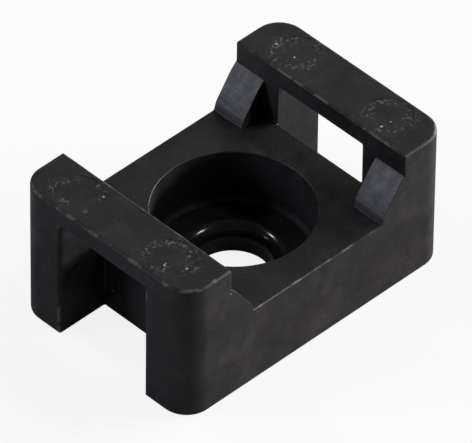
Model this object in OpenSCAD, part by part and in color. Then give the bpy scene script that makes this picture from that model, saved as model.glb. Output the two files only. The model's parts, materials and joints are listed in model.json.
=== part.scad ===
// Screw-on cable tie mount, moulded in one piece from black nylon.
//
// A block with a recessed screw hole stands between two end towers. Each tower is two legs
// and a bar, and the strap of a cable tie passes under both bars, over the screw head.
// The part is made in an open-and-shut mould with no side cores: the slots under the bars
// are shaped from below, and the saddle between the bars is shaped from above.
//
// Frame: origin at the centre of the base, X along the strap, Z up out of the mounting surface.

/* [Body] */
// Overall length, along the strap
length = 22.4; // [21:0.2:30]
// Overall width, across the strap
width = 14.8; // [13.4:0.2:20]
// Overall height, from the base to the tops of the bars
height = 10.3; // [9.4:0.1:14]
// Radius of the four upright corners
corner_r = 1.8; // [0.8:0.1:3]
// Radius that breaks the outer rim of the tower tops
rim_r = 0.25; // [0.1:0.05:0.4]

/* [Towers] */
// Depth of a tower along the strap, from its outer face to its inner face
tower_depth = 3.8; // [3.6:0.1:5]
// Thickness of the bar over the slot
bar_thickness = 1.4; // [1:0.1:2.2]

/* [Saddle] */
// Height of the saddle floor that the strap lies over
floor_h = 5.8; // [4:0.1:6.8]

/* [Slots] */
// Width of the slot that the strap passes through
slot_w = 7.4; // [5:0.1:8.8]
// Radius of the upright edges at a slot's mouth
mouth_r = 0.3; // [0.1:0.05:0.6]

/* [Ramps] */
// Width of each ramp that props a tower at the side of the saddle
ramp_w = 2.5; // [1.5:0.1:3.4]
// How far a ramp reaches into the saddle from the tower
ramp_run = 1.9; // [1:0.1:2.6]
// Plain face left on the tower above a ramp
ramp_drop = 1.65; // [1:0.05:2.2]
// Height of the steep toe at the foot of a ramp
toe_h = 0.6; // [0.3:0.1:1]
// How far the toe reaches along the floor
toe_run = 0.2; // [0.1:0.05:0.5]
// Size of the flatter lip at the top of a ramp, down and along alike
lip = 0.45; // [0.2:0.05:0.6]

/* [Screw hole] */
// Diameter of the hole for the screw's shank
hole_d = 5; // [3.6:0.1:6]
// Diameter of the round recess for the screw's head
recess_d = 10.4; // [8:0.1:11.6]
// Thickness of the web that the screw head clamps
web_h = 1.9; // [1.2:0.1:3]
// Radius that leads from the web down into the hole
lead_r = 1; // [0.4:0.05:1]
// Radius at the foot of the recess wall
foot_r = 0.35; // [0.1:0.05:0.6]

/* [Ejector pin marks] */
// Diameter of the ejector pins that push the part out of its mould
pin_d = 3.2; // [2:0.1:3.4]
// How deep the pins stand into the tops of the bars
pin_depth = 0.06; // [0.02:0.02:0.2]
// Distance of each pair of pins apart, across the strap
pin_pitch = 8; // [6:0.2:9.4]

/* [Hidden] */
$fn = 96;

// Overlap that lets a cut run clean through a face
cut = 0.5;
// Plane of a tower's inner face, which the slot's inner wall shares
inner_x = length / 2 - tower_depth;
// Underside of the bars
bar_z = height - bar_thickness;
// Line on the inner face where a ramp starts
ramp_z = height - ramp_drop;
// Centres of the upright corners
corner_x = length / 2 - corner_r;
corner_y = width / 2 - corner_r;
// Middle of a bar, where its ejector pins stand
bar_x = length / 2 - tower_depth / 2;

// The whole moulding
module tie_mount() {
    color([0.16, 0.16, 0.17])
    difference() {
        union() {
            difference() {
                rim_rounded_block();
                saddle();
            }
            ramps();
        }
        slots();
        screw_hole();
        pin_marks();
    }
}

// Outline with one pair of rounded shoulders, w wide, standing on the origin
module shouldered_profile(w) {
    translate([-w / 2, 0]) square([w, height - rim_r]);
    translate([-w / 2 + rim_r, 0]) square([w - 2 * rim_r, height]);
    for (side = [-1, 1])
        translate([side * (w / 2 - rim_r), height - rim_r]) circle(r = rim_r, $fn = 32);
}

// Block with round upright corners and a softened top rim
module rim_rounded_block() {
    rotate([90, 0, 90])
        translate([0, 0, -corner_x]) linear_extrude(2 * corner_x) shouldered_profile(width);
    rotate([90, 0, 0])
        translate([0, 0, -corner_y]) linear_extrude(2 * corner_y) shouldered_profile(length);
    for (x = [-corner_x, corner_x], y = [-corner_y, corner_y])
        translate([x, y, 0]) corner_post();
}

// One upright corner, turned so that its top rim matches the straight sides
module corner_post() {
    rotate_extrude() intersection() {
        shouldered_profile(2 * corner_r);
        square([corner_r, height]);
    }
}

// Space above the saddle floor, from side to side
module saddle() {
    translate([-inner_x, -width / 2 - cut, floor_h])
        cube([2 * inner_x, width + 2 * cut, height - floor_h + cut]);
}

// Ramp in side view: down the tower, along the floor, up the toe, the slope and the lip
module ramp_profile() {
    polygon([
        [inner_x + cut, ramp_z],
        [inner_x + cut, floor_h - cut],
        [inner_x - ramp_run, floor_h - cut],
        [inner_x - ramp_run, floor_h],
        [inner_x - ramp_run + toe_run, floor_h + toe_h],
        [inner_x - lip, ramp_z - lip],
        [inner_x, ramp_z]
    ]);
}

// Four ramps, one beside each end of each slot
module ramps() {
    for (end = [0, 1], side = [0, 1])
        mirror([end, 0, 0]) mirror([0, side, 0])
            translate([0, width / 2, 0]) rotate([90, 0, 0])
                linear_extrude(ramp_w) ramp_profile();
}

// Strap slots under the bars, open at the base where the mould's lower half filled them
module slots() {
    for (end = [0, 1])
        mirror([end, 0, 0]) {
            translate([inner_x, -slot_w / 2, -cut])
                cube([tower_depth + cut, slot_w, bar_z + cut]);
            translate([0, 0, -cut]) linear_extrude(bar_z + cut) slot_mouth();
        }
}

// Mouth of a slot from above, flared to round the upright edges of the tower's outer face
module slot_mouth() {
    difference() {
        translate([length / 2 - mouth_r, -slot_w / 2 - mouth_r])
            square([mouth_r + cut, slot_w + 2 * mouth_r]);
        for (side = [-1, 1])
            translate([length / 2 - mouth_r, side * (slot_w / 2 + mouth_r)])
                circle(r = mouth_r, $fn = 32);
    }
}

// Screw hole with a recess for the head and a rounded lead into the hole
module screw_hole() {
    translate([0, 0, web_h + foot_r]) cylinder(d = recess_d, h = height);
    rotate_extrude() recess_foot();
    translate([0, 0, -cut]) cylinder(d = hole_d, h = web_h + 2 * cut);
    rotate_extrude() difference() {
        translate([0, web_h - lead_r]) square([hole_d / 2 + lead_r, lead_r + cut]);
        translate([hole_d / 2 + lead_r, web_h - lead_r]) circle(r = lead_r, $fn = 48);
    }
}

// Lowest part of the recess in half section, where its wall curves into the web
module recess_foot() {
    translate([0, web_h]) square([recess_d / 2 - foot_r, foot_r + cut]);
    intersection() {
        translate([recess_d / 2 - foot_r, web_h + foot_r]) circle(r = foot_r, $fn = 32);
        translate([0, web_h]) square([recess_d, foot_r]);
    }
}

// Shallow round marks that the ejector pins leave in the tops of the bars
module pin_marks() {
    for (x = [-bar_x, bar_x], y = [-pin_pitch / 2, pin_pitch / 2])
        translate([x, y, height - pin_depth]) cylinder(d = pin_d, h = pin_depth + cut);
}

tie_mount();
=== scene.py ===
# %% [markdown]
# # A screw-on cable tie mount, dressed in Blender
#
# The part is one moulding in black nylon, about as long as a thumb is wide. A screw
# through the middle holds it to a panel, and the strap of a cable tie passes under its two
# bars. There is nothing to assemble, so the whole lesson is one piece: its form, the small
# radii that catch the light, and the finishes that different parts of one mould leave on it.
#
# The solid model is loaded first. It fixes every size, and it stays hidden behind the
# dressed piece.

# %% Load the solid model
import json
import math

import bmesh
import bpy
from mathutils import Matrix, Vector


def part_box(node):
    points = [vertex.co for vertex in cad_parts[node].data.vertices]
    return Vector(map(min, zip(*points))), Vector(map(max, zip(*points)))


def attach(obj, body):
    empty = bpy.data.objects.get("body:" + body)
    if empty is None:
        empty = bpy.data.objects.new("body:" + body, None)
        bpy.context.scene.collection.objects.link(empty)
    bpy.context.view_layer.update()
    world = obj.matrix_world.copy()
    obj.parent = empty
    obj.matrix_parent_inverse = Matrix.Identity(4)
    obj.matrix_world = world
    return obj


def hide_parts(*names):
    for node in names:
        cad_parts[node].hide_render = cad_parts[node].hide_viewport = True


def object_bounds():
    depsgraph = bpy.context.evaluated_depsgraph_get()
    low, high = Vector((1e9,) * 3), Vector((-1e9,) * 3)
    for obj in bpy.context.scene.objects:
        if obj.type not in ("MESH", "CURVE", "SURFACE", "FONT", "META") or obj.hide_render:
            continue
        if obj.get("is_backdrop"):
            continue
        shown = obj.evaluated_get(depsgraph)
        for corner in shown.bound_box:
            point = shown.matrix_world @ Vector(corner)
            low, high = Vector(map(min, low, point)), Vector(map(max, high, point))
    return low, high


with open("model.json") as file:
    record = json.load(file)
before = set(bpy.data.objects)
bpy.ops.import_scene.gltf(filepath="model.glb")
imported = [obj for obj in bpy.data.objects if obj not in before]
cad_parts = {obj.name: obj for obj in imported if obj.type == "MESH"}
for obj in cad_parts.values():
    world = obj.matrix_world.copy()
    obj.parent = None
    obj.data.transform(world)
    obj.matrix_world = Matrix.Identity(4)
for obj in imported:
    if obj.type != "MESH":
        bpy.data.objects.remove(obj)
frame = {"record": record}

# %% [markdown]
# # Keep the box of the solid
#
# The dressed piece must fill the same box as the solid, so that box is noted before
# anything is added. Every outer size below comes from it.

solid_box = [list(corner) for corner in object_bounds()]
lowest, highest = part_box("tie_mount")
MM = 0.001
length = (highest.x - lowest.x) / MM
width = (highest.y - lowest.y) / MM
height = (highest.z - lowest.z) / MM
print(f"solid: {length:.2f} x {width:.2f} x {height:.2f} mm")

# %% [markdown]
# # The sizes that the mould sets
#
# A mount is small, so it is modelled in millimetres and brought down to metres at the end:
# Blender's cutting and rounding tools are more reliable on numbers near one. The screw hole
# and its recess are read from the mounts of the solid. The towers, the saddle between them
# and the slots are named here once.

# %% Sizes in millimetres
mounts = {mount["name"]: mount for mount in frame["record"]["mounts"]}
hole_r = mounts["screw_hole"]["dims"]["r_mm"]
recess_r = mounts["screw_head_recess"]["dims"]["r_mm"]
corner_r = 1.8
tower_depth = 3.8
inner_x = length / 2 - tower_depth
floor_z = 5.8
slot_w = 7.4
bar_z = height - 1.4
web_z = 1.9
lead_r = web_z - mounts["screw_hole"]["dims"]["length_mm"]
foot_r = floor_z - web_z - mounts["screw_head_recess"]["dims"]["length_mm"]
beyond = 1.0
print(f"towers stand {2 * inner_x:.1f} mm apart; hole {2 * hole_r:.1f}, recess {2 * recess_r:.1f}")

# %% [markdown]
# # The block
#
# The outside of the moulding is a plain block with four round upright corners. It starts
# as a cube, is scaled to size, and its four upright edges are bevelled with many segments,
# which gives true quarter rounds. The towers, the saddle and the holes are all cut from
# this block, because that is how the two halves of the mould shape the part: each cutter
# below is one of the steel cores.

# %% A helper that turns a bmesh into an object
def to_object(bm, name):
    mesh = bpy.data.meshes.new(name)
    bm.to_mesh(mesh)
    bm.free()
    piece = bpy.data.objects.new(name, mesh)
    bpy.context.scene.collection.objects.link(piece)
    return piece

# %% A helper that adds a block between two corners
def add_block(bm, low, high):
    made = bmesh.ops.create_cube(bm, size=1)["verts"]
    size = [b - a for a, b in zip(low, high)]
    middle = [(a + b) / 2 for a, b in zip(low, high)]
    bmesh.ops.scale(bm, vec=size, verts=made)
    bmesh.ops.translate(bm, vec=middle, verts=made)
    return made

# %% The block with its round corners
bm = bmesh.new()
add_block(bm, (-length / 2, -width / 2, 0), (length / 2, width / 2, height))
upright = [e for e in bm.edges if abs(e.verts[0].co.z - e.verts[1].co.z) > 1]
bmesh.ops.bevel(bm, geom=upright, offset=corner_r, affect="EDGES", segments=14, profile=0.5, material=-1)
moulding = to_object(bm, "tie_mount_moulding")
print(f"block: {len(moulding.data.polygons)} faces")

# %% [markdown]
# # The saddle core
#
# The upper half of the mould carries a block of steel that forms the space between the
# towers. Its four lower corners are ground away at a slant. The plastic fills the slants
# and becomes four ramps, which prop the towers and keep a cable from rolling against them.
# A ramp starts a little below the bar with a flatter lip, falls steeply, and ends in a
# steeper toe on the floor. Its side view is a short chain of points, filled and extruded
# across the ramp, then mirrored twice.

# %% One ramp and its three mirror images
ramp_w = 2.5
ramp_run = 1.9
ramp_z = height - 1.65
lip = 0.45
ramp_view = [
    (inner_x - ramp_run, floor_z - beyond),
    (inner_x - ramp_run, floor_z),
    (inner_x - ramp_run + 0.2, floor_z + 0.6),
    (inner_x - lip, ramp_z - lip),
    (inner_x, ramp_z),
    (inner_x + beyond, ramp_z),
    (inner_x + beyond, floor_z - beyond),
]
bm = bmesh.new()
side = bm.faces.new([bm.verts.new((x, width / 2 - ramp_w, z)) for x, z in ramp_view])
swept = bmesh.ops.extrude_face_region(bm, geom=[side])["geom"]
swept = [v for v in swept if isinstance(v, bmesh.types.BMVert)]
bmesh.ops.translate(bm, vec=(0, ramp_w + 2 * beyond, 0), verts=swept)
for axis in ("X", "Y"):
    bmesh.ops.mirror(bm, geom=bm.verts[:] + bm.edges[:] + bm.faces[:], axis=axis, merge_dist=-1)
bmesh.ops.recalc_face_normals(bm, faces=bm.faces)
ramp_blanks = to_object(bm, "ramp_blanks")
print(f"ramps: {len(ramp_blanks.data.polygons)} faces in four blanks")

# %% [markdown]
# # Cutting one shape from another
#
# A Boolean modifier with the exact solver cuts one closed shape from another. It is applied
# at once and its cutter is removed, so that nothing of the tooling is left in the scene.

# %% A helper that cuts and tidies up
def cut_away(piece, cutter):
    cut = piece.modifiers.new("cut", "BOOLEAN")
    cut.operation = "DIFFERENCE"
    cut.solver = "EXACT"
    cut.object = cutter
    bpy.context.view_layer.update()
    result = bpy.data.meshes.new_from_object(piece.evaluated_get(bpy.context.evaluated_depsgraph_get()))
    piece.modifiers.clear()
    piece.data = result
    bpy.data.objects.remove(cutter)
    return piece

# %% Shape the saddle core and press it into the block
bm = bmesh.new()
add_block(bm, (-inner_x, -width / 2 - beyond, floor_z), (inner_x, width / 2 + beyond, height + beyond))
saddle_core = to_object(bm, "saddle_core")
cut_away(saddle_core, ramp_blanks)
cut_away(moulding, saddle_core)
print(f"saddle cut: {len(moulding.data.polygons)} faces")

# %% [markdown]
# # The slot cores
#
# The strap slots are formed from below by two fingers of the lower mould half. That is why
# they are open at the base: the part lifts off the fingers with no moving side core. Each
# finger's back lies in the plane of the tower's inner face, so the two halves of the mould
# shut against each other there and leave the window that the strap goes through.

# %% Cut both strap slots
bm = bmesh.new()
for end in (-1, 1):
    xs = sorted((end * inner_x, end * (length / 2 + beyond)))
    add_block(bm, (xs[0], -slot_w / 2, -beyond), (xs[1], slot_w / 2, bar_z))
cut_away(moulding, to_object(bm, "slot_cores"))
print(f"slots cut: {len(moulding.data.polygons)} faces")

# %% [markdown]
# # The screw core
#
# The hole and the recess for the screw's head are turned shapes, so their core is a
# profile spun round the axis. The lead is an arc: it guides the screw from the recess into
# the hole, and its curve is what gives the two bright glints down in the dark.

# %% Spin the screw core and cut it out
bm = bmesh.new()
turns = [math.radians(step * 7.5) for step in range(13)]
turned = [(0, -beyond), (hole_r, -beyond)]
turned += [(hole_r + lead_r * (1 - math.cos(a)), web_z - lead_r * (1 - math.sin(a))) for a in turns]
turned += [(recess_r - foot_r * (1 - math.sin(a)), web_z + foot_r * (1 - math.cos(a))) for a in turns]
turned += [(recess_r, height + beyond), (0, height + beyond)]
line = [bm.verts.new((r, 0, z)) for r, z in turned]
for low, high in zip(line, line[1:]):
    bm.edges.new((low, high))
bmesh.ops.spin(
    bm, geom=bm.verts[:] + bm.edges[:], axis=(0, 0, 1), cent=(0, 0, 0),
    angle=math.tau, steps=144, use_merge=True,
)
bmesh.ops.remove_doubles(bm, verts=bm.verts, dist=1e-4)
bmesh.ops.recalc_face_normals(bm, faces=bm.faces)
cut_away(moulding, to_object(bm, "screw_core"))
print(f"screw hole cut: {len(moulding.data.polygons)} faces")

# %% [markdown]
# # The ejector pin marks
#
# Four pins push the part out of the mould, two on each bar. Each leaves a round mark that
# sits about a hundredth of a millimetre deep. The marks are cut with four flat cylinders, so
# that they are there when the part is turned in the light, and the finish adds the flecks
# round them later.

# %% Press the four pins into the bars
pin_r = 1.6
pin_depth = 0.015
pin_pitch = 8
bar_x = length / 2 - tower_depth / 2
bm = bmesh.new()
for x in (-bar_x, bar_x):
    for y in (-pin_pitch / 2, pin_pitch / 2):
        place = Matrix.Translation((x, y, height + 0.5 - pin_depth))
        bmesh.ops.create_cone(
            bm, cap_ends=True, segments=64, radius1=pin_r, radius2=pin_r, depth=1, matrix=place
        )
cut_away(moulding, to_object(bm, "ejector_pins"))
print(f"pins pressed in: {len(moulding.data.polygons)} faces")

# %% [markdown]
# # Merge and clean the surface
#
# Cutting leaves doubled points and needless edges across flat faces. Rounding works only
# on a clean surface, so points closer than a tenth of a micron are merged, and edges
# between faces in one plane are dissolved.

# %% Clean the cut block
bm = bmesh.new()
bm.from_mesh(moulding.data)
bmesh.ops.remove_doubles(bm, verts=bm.verts, dist=1e-4)
bmesh.ops.dissolve_limit(bm, angle_limit=math.radians(0.4), verts=bm.verts, edges=bm.edges)
print(f"cleaned: {len(bm.faces)} faces, volume {bm.calc_volume():.0f} mm3")

# %% [markdown]
# # A radius for every edge
#
# No moulded edge is sharp, and the light finds every one of them. How round an edge is
# depends on the steel that made it. Where the two halves of the mould meet, the edge is
# crisp. Where the steel was cut by a round tool, it is softer. The function below names
# the radius of each kind of edge in millimetres.

# %% Name the radius of each kind of edge
rim_r = 0.2
mouth_r = 0.3

def near(value, place):
    return abs(value - place) < 0.01

def edge_radius(edge):
    a, b = (vert.co for vert in edge.verts)
    middle = (a + b) / 2
    x, y, z = abs(middle.x), abs(middle.y), middle.z
    from_pin = math.hypot(x - bar_x, y - pin_pitch / 2)
    if math.hypot(x, y) < recess_r + 0.1:
        return 0.08 if near(z, floor_z) else 0
    if z > height - pin_depth - 0.01 and abs(from_pin - pin_r) < 0.05:
        return 0.6 * pin_depth if z > height - 0.005 else 0
    if near(z, height):
        return 0.14 if near(x, inner_x) else rim_r
    if near(y, width / 2) and (near(x, inner_x) or near(z, floor_z)):
        return 0.1
    if x < inner_x - 0.01 and floor_z - 0.01 < z < ramp_z + 0.01:
        return 0.03
    if near(x, length / 2) and near(y, slot_w / 2):
        return mouth_r
    if near(x, length / 2) and near(z, bar_z):
        return 0.15
    return 0.08

# %% [markdown]
# # One modifier rounds them all
#
# The Bevel modifier can read its width from a weight on each edge. Each edge's weight is
# its radius as a share of the widest one, so unlike radii run into each other cleanly at
# the corners. Four segments are enough for a radius that is seen only as a glint.

# %% Weigh the edges
weight = bm.edges.layers.float.new("bevel_weight_edge")
for edge in bm.edges:
    if len(edge.link_faces) == 2 and edge.calc_face_angle() > math.radians(20):
        edge[weight] = edge_radius(edge) / mouth_r
rounded = sum(1 for edge in bm.edges if edge[weight] > 0)
bm.to_mesh(moulding.data)
bm.free()
print(f"{rounded} edges get a radius")

# %% Round the edges
rounding = moulding.modifiers.new("moulded_radii", "BEVEL")
rounding.limit_method = "WEIGHT"
rounding.offset_type = "OFFSET"
rounding.width = mouth_r
rounding.segments = 4
rounding.profile = 0.5
rounding.use_clamp_overlap = False
rounding.loop_slide = True
rounding.miter_outer = "MITER_ARC"
rounding.harden_normals = False

# %% Apply the rounding
def bake_modifiers(piece):
    bpy.context.view_layer.update()
    graph = bpy.context.evaluated_depsgraph_get()
    baked = bpy.data.meshes.new_from_object(piece.evaluated_get(graph))
    piece.modifiers.clear()
    piece.data = baked

bake_modifiers(moulding)
bm = bmesh.new()
bm.from_mesh(moulding.data)
print(f"rounded: {len(bm.faces)} faces, volume {bm.calc_volume():.0f} mm3")

# %% [markdown]
# # Where the edges get rubbed
#
# The part has been tipped out of a bag of five hundred, and its edges have rubbed against
# the others. A material can't find an edge by itself, so the rubbing is stored on the
# points of the mesh as an attribute. The same attribute also paints a highlight: the pale
# strokes that it puts on the rounded edges are partly wear and partly painted highlight.
# A point counts as rubbed when every face round it is a narrow strip, because only the
# rounded edges are made of narrow strips. The recess, the slots, the saddle and the sunken
# pin marks have narrow strips too, but they are sheltered, so nothing rubs there.

# %% Mark the rubbed points, which also carry the painted edge highlight
def in_screw_core(point):
    return math.hypot(point.x, point.y) < recess_r + 0.01 and point.z < floor_z - 0.1

def is_sheltered(point):
    x, y, z = abs(point.x), abs(point.y), point.z
    in_slot = x < length / 2 - 0.05 and y < slot_w / 2 + 0.05 and z < bar_z + 0.05
    on_ramp_foot = x < inner_x + 0.05 and floor_z + 0.15 < z < height - 0.3
    in_saddle = x < inner_x - 0.05 and y < width / 2 - 0.15 or on_ramp_foot
    in_pin = math.hypot(x - bar_x, y - pin_pitch / 2) < pin_r + 0.1 and z > bar_z
    return in_screw_core(point) or in_slot or in_saddle or in_pin

def is_narrow(face):
    longest = max(edge.calc_length() for edge in face.edges)
    return face.calc_area() / longest < 0.13

rub_and_highlight = bm.verts.layers.float.new("edge_rub_and_highlight")
for vert in bm.verts:
    if not is_sheltered(vert.co) and all(is_narrow(face) for face in vert.link_faces):
        vert[rub_and_highlight] = 1.0
print(f"{sum(1 for vert in bm.verts if vert[rub_and_highlight] > 0)} of {len(bm.verts)} points are rubbed")

# %% [markdown]
# # The foot of the recess
#
# A polishing tool can't reach into the corner at the foot of the recess, and the film that
# eases the part out of the mould gathers there. So that corner stays dull, and its points
# are marked for the material as well.

# %% Mark the dull corner
film = bm.verts.layers.float.new("corner_film")
for vert in bm.verts:
    at_wall = abs(math.hypot(vert.co.x, vert.co.y) - recess_r) < foot_r + 0.01
    if at_wall and vert.co.z < web_z + foot_r + 0.01 and in_screw_core(vert.co):
        vert[film] = 1.0
print(f"{sum(1 for vert in bm.verts if vert[film] > 0)} points lie in the dull corner")

# %% [markdown]
# # Three kinds of steel, three finishes
#
# Nylon copies the steel that it sets against, and this mould has three kinds of surface.
# Most of the cavity was spark eroded, which leaves a fine matt grain. The tip of the screw
# core and the sides of the ramp pockets were polished, so that the part slides off them,
# and the plastic there is almost a mirror: it looks black until it catches a lamp. The
# ramps come from flats that were ground, which leave fine straight lines across them. So
# each face is given its finish by where it is.

# %% Choose a finish for each face
GRAINED, POLISHED, GROUND = range(3)

def finish_of(face):
    middle = face.calc_center_median()
    x, y, z = abs(middle.x), abs(middle.y), middle.z
    at_core_tip = in_screw_core(middle) and web_z - lead_r < z < web_z
    on_ramp = y > width / 2 - ramp_w - 0.1 and floor_z < z < ramp_z and x < inner_x - 0.01
    if at_core_tip or on_ramp and face.normal.y * middle.y < -4:
        return POLISHED
    slanted = abs(face.normal.x) > 0.3 and face.normal.z > 0.2
    return GROUND if slanted and on_ramp else GRAINED

counts = [0, 0, 0]
for face in bm.faces:
    face.smooth = True
    face.material_index = finish_of(face)
    counts[face.material_index] += 1
print(f"faces grained, polished, ground: {counts}")

# %% [markdown]
# # From millimetres to metres
#
# The mesh is scaled, not the object, so the object stays at the origin with nothing to
# apply. The Weighted Normal modifier then lets large faces keep their own direction, which
# leaves flat faces flat and bends the light only round the small radii. Last, the piece is
# hung on the root, and the solid that it stands in for is hidden.

# %% Bring the moulding down to metres
bmesh.ops.scale(bm, vec=(MM, MM, MM), verts=bm.verts)
bm.to_mesh(moulding.data)
bm.free()
level_faces = moulding.modifiers.new("flat_faces_stay_flat", "WEIGHTED_NORMAL")
level_faces.mode = "FACE_AREA"
level_faces.weight = 50
bake_modifiers(moulding)
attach(moulding, "root")
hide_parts("tie_mount")
print(f"{moulding.name} is ready: {len(moulding.data.polygons)} faces")

# %% [markdown]
# # Two helpers for the materials
#
# A colour is easiest to write as the hex value that a paint program shows, but the renderer
# works in linear light, so one function turns the first into the second. The other function
# adds a node, links the sockets that are given another node's output, and sets the rest.

# %% Hex colour to linear light
def srgb(code):
    values = [int(code[i:i + 2], 16) / 255 for i in (1, 3, 5)]
    return [v / 12.92 if v <= 0.04045 else ((v + 0.055) / 1.055) ** 2.4 for v in values] + [1.0]

# %% Add one node
def add_node(tree, kind, sockets=None, **settings):
    node = tree.nodes.new(kind)
    for name, value in settings.items():
        setattr(node, name, value)
    for socket, value in (sockets or {}).items():
        if isinstance(value, bpy.types.NodeSocket):
            tree.links.new(value, node.inputs[socket])
        else:
            node.inputs[socket].default_value = value
    return node

# %% [markdown]
# # Black nylon 6/6
#
# The mount is nylon 6/6 coloured through with carbon black, which protects it from
# sunlight. Carbon black soaks up nearly all the light that enters, so the colour is very
# deep, and most of what the eye sees is the faint mirror of the surface. Nylon bends light
# by 1.53. Its grained skin is full of tiny pits that shade each other, so it mirrors less
# than a perfect surface: a specular level of 0.3 stands for that.
#
# Patterns read Object coordinates, which are metres on the part, so a noise of scale one
# over its size in metres has features of that size.

# %% Start a nylon finish
nylon_ior = 1.53
pit_shading = 0.3

def start_nylon(name):
    finish = bpy.data.materials.new(name)
    finish.use_nodes = True
    finish.node_tree.nodes.clear()
    place = add_node(finish.node_tree, "ShaderNodeTexCoord").outputs["Object"]
    return finish, finish.node_tree, place

# %% [markdown]
# # How rubbed edges look
#
# Rubbing roughens the nylon and lifts its colour to a dull grey. It never runs evenly along
# an edge, so the stored rubbing is multiplied by a noise that breaks it into strokes a
# fraction of a millimetre long. These pale strokes are partly wear and partly a painted
# highlight along the rounded edges.

# %% Strokes of wear and painted highlight along the edges
def edge_wear_and_highlight(tree, place):
    rubbed_and_highlit = add_node(tree, "ShaderNodeAttribute", attribute_name="edge_rub_and_highlight").outputs["Fac"]
    strokes = add_node(tree, "ShaderNodeTexNoise", {"Vector": place, "Scale": 1 / (0.9 * MM), "Detail": 6.0})
    broken = add_node(tree, "ShaderNodeMapRange", {
        "Value": strokes.outputs["Fac"], "From Min": 0.47, "From Max": 0.64,
    }, interpolation_type="SMOOTHSTEP")
    return add_node(tree, "ShaderNodeMath", {
        0: rubbed_and_highlit, 1: broken.outputs["Result"],
    }, operation="MULTIPLY").outputs[0]

# %% [markdown]
# # Specks of dust
#
# Nylon charges itself and draws dust, and a few crumbs of flash cling to it as well. A
# Voronoi texture splits space into cells with one centre each. A small dot round the
# centre, kept only where the cell's random colour passes a limit, gives sparse specks in
# random places. They are about a tenth of a millimetre across.

# %% Sparse pale specks
def dust_specks(tree, place, spacing, size, share):
    cells = add_node(tree, "ShaderNodeTexVoronoi", {"Vector": place, "Scale": 1 / (spacing * MM)})
    dot = add_node(tree, "ShaderNodeMapRange", {
        "Value": cells.outputs["Distance"], "From Min": size / spacing, "From Max": size / spacing / 3,
    }, interpolation_type="SMOOTHSTEP")
    lot = add_node(tree, "ShaderNodeSeparateColor", {"Color": cells.outputs["Color"]})
    kept = add_node(tree, "ShaderNodeMath", {0: lot.outputs["Red"], 1: 1 - share}, operation="GREATER_THAN")
    return add_node(tree, "ShaderNodeMath", {
        0: dot.outputs["Result"], 1: kept.outputs[0],
    }, operation="MULTIPLY").outputs[0]

# %% [markdown]
# # The colour of the nylon
#
# The black is never quite even: the pigment drifts a little over two or three millimetres
# as the melt flows. Rubbed edges mix in a grey, which is partly wear and partly a painted
# highlight along the edges, and dust mixes in a pale one.

# %% Mix the nylon's colour
def nylon_colour(tree, place, wear_and_highlight, dust):
    melt = add_node(tree, "ShaderNodeTexNoise", {"Vector": place, "Scale": 1 / (2.5 * MM), "Detail": 5.0})
    drift = add_node(tree, "ShaderNodeMapRange", {
        "Value": melt.outputs["Fac"], "From Min": 0.3, "From Max": 0.7,
    }, interpolation_type="SMOOTHSTEP")
    body = add_node(tree, "ShaderNodeMix", {
        0: drift.outputs["Result"], 6: srgb("#151516"), 7: srgb("#1f1f20"),
    }, data_type="RGBA")
    # The grey on the edges is partly wear and partly a painted highlight.
    rubbed_and_highlit = add_node(tree, "ShaderNodeMix", {
        0: wear_and_highlight, 6: body.outputs[2], 7: srgb("#5c5a58"),
    }, data_type="RGBA")
    return add_node(tree, "ShaderNodeMix", {
        0: dust, 6: rubbed_and_highlit.outputs[2], 7: srgb("#c4c1bb"),
    }, data_type="RGBA").outputs[2]

# %% [markdown]
# # From height to shader
#
# Each finish ends the same way: its height pattern goes through a Bump node, whose distance
# is the real depth of the texture, and the shader takes the colour, the roughness and the
# bumped normal.

# %% Finish a nylon skin
def finish_skin(tree, colour, shine, relief, depth):
    bumped = add_node(tree, "ShaderNodeBump", {"Height": relief, "Strength": 1.0, "Distance": depth * MM})
    skin = add_node(tree, "ShaderNodeBsdfPrincipled", {
        "Base Color": colour,
        "Roughness": shine,
        "IOR": nylon_ior,
        "Specular IOR Level": pit_shading,
        "Normal": bumped.outputs["Normal"],
    })
    add_node(tree, "ShaderNodeOutputMaterial", {"Surface": skin.outputs["BSDF"]})

# %% [markdown]
# # How far is the nearest ejector pin?
#
# The gap round each pin lets a trace of melt in, which tears off as the pin pushes and
# leaves a broken ring of pale flecks. All four marks are alike, so the absolute values of X
# and Y fold the four corners of the part onto one, and one distance serves all four. A
# noise bends the distance, because no real ring is round.

# %% Bent distance from a pin's centre
def pin_distance(tree, place):
    bend = add_node(tree, "ShaderNodeTexNoise", {"Vector": place, "Scale": 1 / (1.3 * MM), "Detail": 3.0})
    axes = add_node(tree, "ShaderNodeSeparateXYZ", {"Vector": place}).outputs
    across = []
    for axis, centre in (("X", bar_x), ("Y", pin_pitch / 2)):
        folded = add_node(tree, "ShaderNodeMath", {0: axes[axis]}, operation="ABSOLUTE")
        from_centre = add_node(tree, "ShaderNodeMath", {
            0: folded.outputs[0], 1: centre * MM,
        }, operation="SUBTRACT")
        across.append(from_centre.outputs[0])
    up = add_node(tree, "ShaderNodeMath", {0: axes["Z"], 1: height * MM}, operation="SUBTRACT")
    offset = add_node(tree, "ShaderNodeCombineXYZ", {"X": across[0], "Y": across[1], "Z": up.outputs[0]})
    away = add_node(tree, "ShaderNodeVectorMath", {0: offset.outputs["Vector"]}, operation="LENGTH")
    return add_node(tree, "ShaderNodeMath", {
        0: bend.outputs["Fac"], 1: 1.8 * MM, 2: away.outputs["Value"],
    }, operation="MULTIPLY_ADD").outputs[0]

# %% [markdown]
# # Flecks round the pins
#
# The ring is strongest where the bent distance equals the pin's radius. One noise tears it
# into flecks a quarter of a millimetre long, and a slower one opens gaps in it. A few
# rounder crumbs lie inside the ring as well.

# %% Broken rings and crumbs
bend_middle = 0.9

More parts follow.
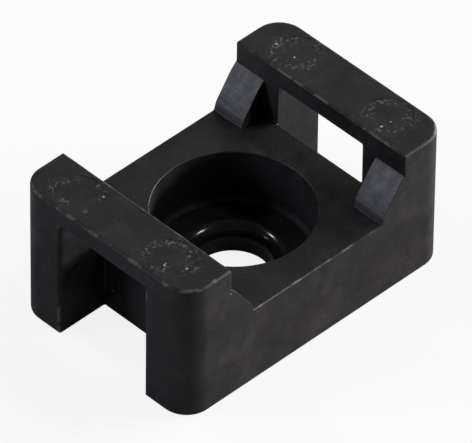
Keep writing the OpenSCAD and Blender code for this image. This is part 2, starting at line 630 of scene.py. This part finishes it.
def pin_flecks(tree, place, distance):
    off_ring = add_node(tree, "ShaderNodeMath", {
        0: distance, 1: (pin_r - 0.25 + bend_middle) * MM,
    }, operation="SUBTRACT")
    off_ring = add_node(tree, "ShaderNodeMath", {0: off_ring.outputs[0]}, operation="ABSOLUTE")
    ring = add_node(tree, "ShaderNodeMapRange", {
        "Value": off_ring.outputs[0], "From Min": 0.55 * MM, "From Max": 0.0,
    }, interpolation_type="SMOOTHSTEP")
    strength = ring.outputs["Result"]
    for size, low, high in ((0.27, 0.49, 0.68), (1.5, 0.42, 0.52)):
        noise = add_node(tree, "ShaderNodeTexNoise", {
            "Vector": place, "Scale": 1 / (size * MM), "Detail": 3.0,
        })
        torn = add_node(tree, "ShaderNodeMapRange", {
            "Value": noise.outputs["Fac"], "From Min": low, "From Max": high,
        }, interpolation_type="SMOOTHSTEP")
        strength = add_node(tree, "ShaderNodeMath", {
            0: strength, 1: torn.outputs["Result"],
        }, operation="MULTIPLY").outputs[0]
    return strength

def pin_crumbs(tree, place, distance):
    inside = add_node(tree, "ShaderNodeMath", {
        0: distance, 1: (pin_r - 0.1 + bend_middle) * MM,
    }, operation="LESS_THAN")
    crumbs = dust_specks(tree, place, spacing=0.7, size=0.12, share=0.3)
    return add_node(tree, "ShaderNodeMath", {
        0: inside.outputs[0], 1: crumbs,
    }, operation="MULTIPLY").outputs[0]

# %% [markdown]
# # Spark-eroded skin
#
# Spark erosion eats tiny craters into the steel, so the plastic gets a fine matt grain.
# Real craters are some hundredths of a millimetre wide. They are drawn at 0.16 mm, the
# finest size that still shows at arm's length. Under the grain lies a slow swell, where the
# thick parts shrank as they cooled. The roughness drifts between 0.40 and 0.56, because
# handling has polished the skin in patches. Faint scuffs lie in patches about two
# millimetres wide. Wherever the skin is scuffed or rubbed, it is rougher too.

# %% Wear and painted edge highlight, flecks, scuffs and dust of the grained skin
grained, tree, place = start_nylon("spark_eroded_black_nylon")
distance = pin_distance(tree, place)
flecks = pin_flecks(tree, place, distance)
# The edge strokes are partly wear and partly a painted highlight along the edges.
wear_and_highlight = add_node(tree, "ShaderNodeMath", {
    0: edge_wear_and_highlight(tree, place), 1: flecks,
}, operation="MAXIMUM").outputs[0]
patches = add_node(tree, "ShaderNodeTexNoise", {
    "Vector": place, "Scale": 1 / (2.2 * MM), "Detail": 9.0, "Roughness": 0.7,
})
scuffed = add_node(tree, "ShaderNodeMapRange", {
    "Value": patches.outputs["Fac"], "From Min": 0.52, "From Max": 0.74, "To Max": 0.14,
})
wear_and_highlight = add_node(tree, "ShaderNodeMath", {
    0: wear_and_highlight, 1: scuffed.outputs["Result"],
}, operation="MAXIMUM").outputs[0]
dust = dust_specks(tree, place, spacing=2.3, size=0.09, share=0.3)
crumbs = pin_crumbs(tree, place, distance)
dust = add_node(tree, "ShaderNodeMath", {0: dust, 1: crumbs}, operation="MAXIMUM").outputs[0]

# %% Grain and swell
grain = add_node(tree, "ShaderNodeTexNoise", {"Vector": place, "Scale": 1 / (0.16 * MM), "Detail": 3.0})
swell = add_node(tree, "ShaderNodeTexNoise", {"Vector": place, "Scale": 1 / (1.8 * MM), "Detail": 2.0})
relief = add_node(tree, "ShaderNodeMath", {
    0: swell.outputs["Fac"], 1: 2.0, 2: grain.outputs["Fac"],
}, operation="MULTIPLY_ADD")
handled = add_node(tree, "ShaderNodeTexNoise", {"Vector": place, "Scale": 1 / (0.9 * MM), "Detail": 5.0})
shine = add_node(tree, "ShaderNodeMapRange", {
    "Value": handled.outputs["Fac"], "From Min": 0.3, "From Max": 0.7, "To Min": 0.40, "To Max": 0.56,
})
film = add_node(tree, "ShaderNodeAttribute", attribute_name="corner_film").outputs["Fac"]
rubbed_and_highlit = add_node(tree, "ShaderNodeAttribute", attribute_name="edge_rub_and_highlight").outputs["Fac"]
dulled = add_node(tree, "ShaderNodeMath", {0: rubbed_and_highlit, 1: 0.7, 2: film}, operation="MULTIPLY_ADD").outputs[0]
dulled = add_node(tree, "ShaderNodeMath", {0: dulled, 1: wear_and_highlight}, operation="MAXIMUM").outputs[0]
shine = add_node(tree, "ShaderNodeMath", {
    0: dulled, 1: 0.3, 2: shine.outputs["Result"],
}, operation="MULTIPLY_ADD")
finish_skin(tree, nylon_colour(tree, place, wear_and_highlight, dust), shine.outputs[0], relief.outputs[0], 0.014)
print(f"{grained.name}: {len(tree.nodes)} nodes")

# %% [markdown]
# # The polished core tip
#
# The screw core was turned and then polished at its tip. Faint rings from the turning are
# left: they change quickly up the axis and hardly at all round it, so the noise is
# stretched across X and Y. The smooth skin sends light one way only, so the curve down to
# the hole is nearly black, with two hard glints on it.

# %% Finish of the core tip
polished, tree, place = start_nylon("polished_core_black_nylon")
# Its edge strokes are partly wear and partly a painted highlight.
wear_and_highlight = edge_wear_and_highlight(tree, place)
dust = dust_specks(tree, place, spacing=3.2, size=0.06, share=0.1)
up_axis = add_node(tree, "ShaderNodeMapping", {"Vector": place, "Scale": (0.1, 0.1, 1.0)})
turning = add_node(tree, "ShaderNodeTexNoise", {
    "Vector": up_axis.outputs["Vector"], "Scale": 1 / (0.3 * MM), "Detail": 2.0,
})
handled = add_node(tree, "ShaderNodeTexNoise", {"Vector": place, "Scale": 1 / (1.2 * MM), "Detail": 3.0})
shine = add_node(tree, "ShaderNodeMapRange", {
    "Value": handled.outputs["Fac"], "From Min": 0.3, "From Max": 0.7, "To Min": 0.13, "To Max": 0.19,
})
colour = nylon_colour(tree, place, wear_and_highlight, dust)
finish_skin(tree, colour, shine.outputs["Result"], turning.outputs["Fac"], 0.002)
print(f"{polished.name}: {len(tree.nodes)} nodes")

# %% [markdown]
# # Ground ramps
#
# A surface grinder leaves straight parallel lines a few hundredths of a millimetre apart.
# Here they run across the ramp, along Y, so the noise is stretched sixteen times that way.
# They are drawn 0.16 mm apart so that they show. The lines spread the light up and down the
# ramp, so it glows softly as a whole, and the ramps are the palest part of the mount.

# %% Finish of the ramps
ground, tree, place = start_nylon("ground_flat_black_nylon")
# Its edge strokes are partly wear and partly a painted highlight.
wear_and_highlight = edge_wear_and_highlight(tree, place)
dust = dust_specks(tree, place, spacing=0.9, size=0.09, share=0.3)
along_lines = add_node(tree, "ShaderNodeMapping", {"Vector": place, "Scale": (1.0, 0.06, 1.0)})
lines = add_node(tree, "ShaderNodeTexNoise", {
    "Vector": along_lines.outputs["Vector"], "Scale": 1 / (0.16 * MM), "Detail": 3.0,
})
handled = add_node(tree, "ShaderNodeTexNoise", {"Vector": place, "Scale": 1 / (0.6 * MM), "Detail": 4.0})
shine = add_node(tree, "ShaderNodeMapRange", {
    "Value": handled.outputs["Fac"], "From Min": 0.3, "From Max": 0.7, "To Min": 0.40, "To Max": 0.50,
})
colour = nylon_colour(tree, place, wear_and_highlight, dust)
finish_skin(tree, colour, shine.outputs["Result"], lines.outputs["Fac"], 0.012)
print(f"{ground.name}: {len(tree.nodes)} nodes")

# %% Give the moulding its finishes
for finish in (grained, polished, ground):
    moulding.data.materials.append(finish)

# %% [markdown]
# # The camera
#
# A small part is best shown from a corner and from well above, so that both bars, a long
# side and one end are all in view. A long lens from far off keeps parallel edges nearly
# parallel, as in a catalogue. The camera stands at a compass angle and a height angle, and
# rolls by less than a degree. The lens is worked out from the width that it has to take in.

# %% Aim the camera
look_from = math.radians(225.22)
look_down = math.radians(42.47)
roll = math.radians(0.71)
away = Vector((
    math.cos(look_down) * math.cos(look_from),
    math.cos(look_down) * math.sin(look_from),
    math.sin(look_down),
))
level = (-away).cross(Vector((0, 0, 1))).normalized()
upward = level.cross(-away)
right = math.cos(roll) * level + math.sin(roll) * upward
up = math.cos(roll) * upward - math.sin(roll) * level
aim = Vector((0, 0, height * MM / 2)) + 0.161 * MM * right - 0.313 * MM * up
print(f"camera looks {math.degrees(look_down):.1f} degrees down")

# %% Make the camera
camera_distance = 0.6
view_width = 29.01 * MM
camera_data = bpy.data.cameras.new("studio_camera")
camera_data.sensor_width = 36
camera_data.lens = camera_data.sensor_width * camera_distance / view_width
camera_data.clip_start = 0.01
camera = bpy.data.objects.new("studio_camera", camera_data)
turned = Matrix((right, up, away)).transposed().to_4x4()
camera.matrix_world = Matrix.Translation(aim + camera_distance * away) @ turned
bpy.context.scene.collection.objects.link(camera)
bpy.context.scene.camera = camera
print(f"lens: {camera_data.lens:.0f} mm")

# %% [markdown]
# # The floor
#
# The part lies on a sheet of pale paper. Lit by the lamps alone, the paper would look grey
# beside a part so dark, so the camera is shown a sheet that is mostly white by its own
# glow, and the rest of it is the paper as it is lit, which keeps the shadow. A Light Path
# node tells the camera's rays and the rays seen through glass from the others. Mirrored
# rays take only a small share of the glow, because nothing here is metal or glass: black
# nylon mirrors so faintly that what it needs is the real paper with the shadow in it. The
# sheet lies a hundredth of a millimetre under the part, and it is clear when it is seen
# from below, so that the underside can be looked at too.

# %% Lay down the paper
bm = bmesh.new()
bmesh.ops.create_grid(bm, x_segments=1, y_segments=1, size=2)
bmesh.ops.translate(bm, vec=(0, 0, -0.01 * MM), verts=bm.verts)
floor = to_object(bm, "pale_floor")
floor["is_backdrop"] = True
paper = bpy.data.materials.new("matt_pale_paper")
paper.use_nodes = True
tree = paper.node_tree
tree.nodes.clear()
white_glow = add_node(tree, "ShaderNodeEmission", {"Color": srgb("#ffffff"), "Strength": 1.0})
rays = add_node(tree, "ShaderNodeLightPath").outputs
seen = add_node(tree, "ShaderNodeMath", {
    0: rays["Is Camera Ray"], 1: rays["Is Transmission Ray"],
}, operation="ADD")
tone = add_node(tree, "ShaderNodeMix", {
    0: seen.outputs[0], 6: srgb("#a4a4a4"), 7: srgb("#f5f5f5"),
}, data_type="RGBA")
lit_paper = add_node(tree, "ShaderNodeBsdfDiffuse", {"Color": tone.outputs[2]})
mirrored = add_node(tree, "ShaderNodeMath", {0: rays["Is Glossy Ray"], 1: 0.04}, operation="MULTIPLY")
share = add_node(tree, "ShaderNodeMath", {
    0: seen.outputs[0], 1: 0.86, 2: mirrored.outputs[0],
}, operation="MULTIPLY_ADD")
sheet = add_node(tree, "ShaderNodeMixShader", {
    0: share.outputs[0], 1: lit_paper.outputs[0], 2: white_glow.outputs[0],
})
underneath = add_node(tree, "ShaderNodeNewGeometry").outputs["Backfacing"]
clear = add_node(tree, "ShaderNodeBsdfTransparent")
one_way = add_node(tree, "ShaderNodeMixShader", {0: underneath, 1: sheet.outputs[0], 2: clear.outputs[0]})
add_node(tree, "ShaderNodeOutputMaterial", {"Surface": one_way.outputs[0]})
floor.data.materials.append(paper)
print(f"paper: {2 * 2} m square")

# %% [markdown]
# # The lamps
#
# A black part shows hardly any colour of its own, so it is lit by what it mirrors. A long
# low softbox on the right fills the long side with light. A smaller one low on the left is
# aimed so that the ramps mirror it to the camera. One behind gives the bars their tone, and
# two small ones high up make the glints in the recess. A lamp's strength is given as the
# light level that it would make on a white card that faces it, where 1 renders the card as
# white.

# %% A lamp on a stand
def softbox(name, compass, elevation, level, wide, tall, code):
    lamp = bpy.data.lights.new(name, "AREA")
    lamp.shape = "RECTANGLE"
    lamp.size = wide
    lamp.size_y = tall
    lamp.energy = level * math.pi ** 2
    lamp.color = srgb(code)[:3]
    stand = bpy.data.objects.new(name, lamp)
    turn = Matrix.Rotation(math.radians(compass), 3, "Z") @ Matrix.Rotation(math.radians(-elevation), 3, "Y")
    direction = turn @ Vector((1, 0, 0))
    stand.location = direction
    stand.rotation_euler = direction.to_track_quat("Z", "Y").to_euler()
    stand.visible_camera = False
    bpy.context.scene.collection.objects.link(stand)
    print(f"{name}: level {level}")

# %% Place the lamps
softbox("long_right_softbox", -25, 8, 3.0, 0.8, 0.26, "#fff8f3")
softbox("low_left_softbox", 145, 23, 0.47, 0.34, 0.36, "#e8eeff")
softbox("back_softbox", 38, 24, 0.085, 0.6, 0.35, "#ffffff")
softbox("high_right_lamp", -33, 56, 0.16, 0.11, 0.10, "#ffffff")
softbox("high_left_lamp", 107, 52, 0.11, 0.12, 0.10, "#ffffff")

# %% [markdown]
# # The room
#
# The room gives a little even light from all round. To the camera it is white, so that a
# view from low down has a pale backdrop too.

# %% Light the room
world = bpy.data.worlds.new("studio_room")
world.use_nodes = True
tree = world.node_tree
tree.nodes.clear()
dim_room = add_node(tree, "ShaderNodeBackground", {"Color": srgb("#ffffff"), "Strength": 0.09})
white_wall = add_node(tree, "ShaderNodeBackground", {"Color": srgb("#ffffff"), "Strength": 1.0})
rays = add_node(tree, "ShaderNodeLightPath").outputs
seen = add_node(tree, "ShaderNodeMath", {
    0: rays["Is Camera Ray"], 1: rays["Is Transmission Ray"],
}, operation="ADD")
share = add_node(tree, "ShaderNodeMath", {
    0: rays["Is Glossy Ray"], 1: 0.02, 2: seen.outputs[0],
}, operation="MULTIPLY_ADD")
room = add_node(tree, "ShaderNodeMixShader", {
    0: share.outputs[0], 1: dim_room.outputs[0], 2: white_wall.outputs[0],
})
add_node(tree, "ShaderNodeOutputWorld", {"Surface": room.outputs[0]})
bpy.context.scene.world = world
bpy.context.scene.view_settings.view_transform = "Standard"

# %% [markdown]
# Print the two boxes
#
# Last, the box of the dressed piece is written beside the box of the solid. The two should
# agree to a few hundredths of a millimetre.

# %% Record both boxes
boxes = {"solid": solid_box, "dressed": [list(corner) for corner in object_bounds()]}
for name, corners in boxes.items():
    print(name, [round((b - a) / MM, 3) for a, b in zip(*corners)])
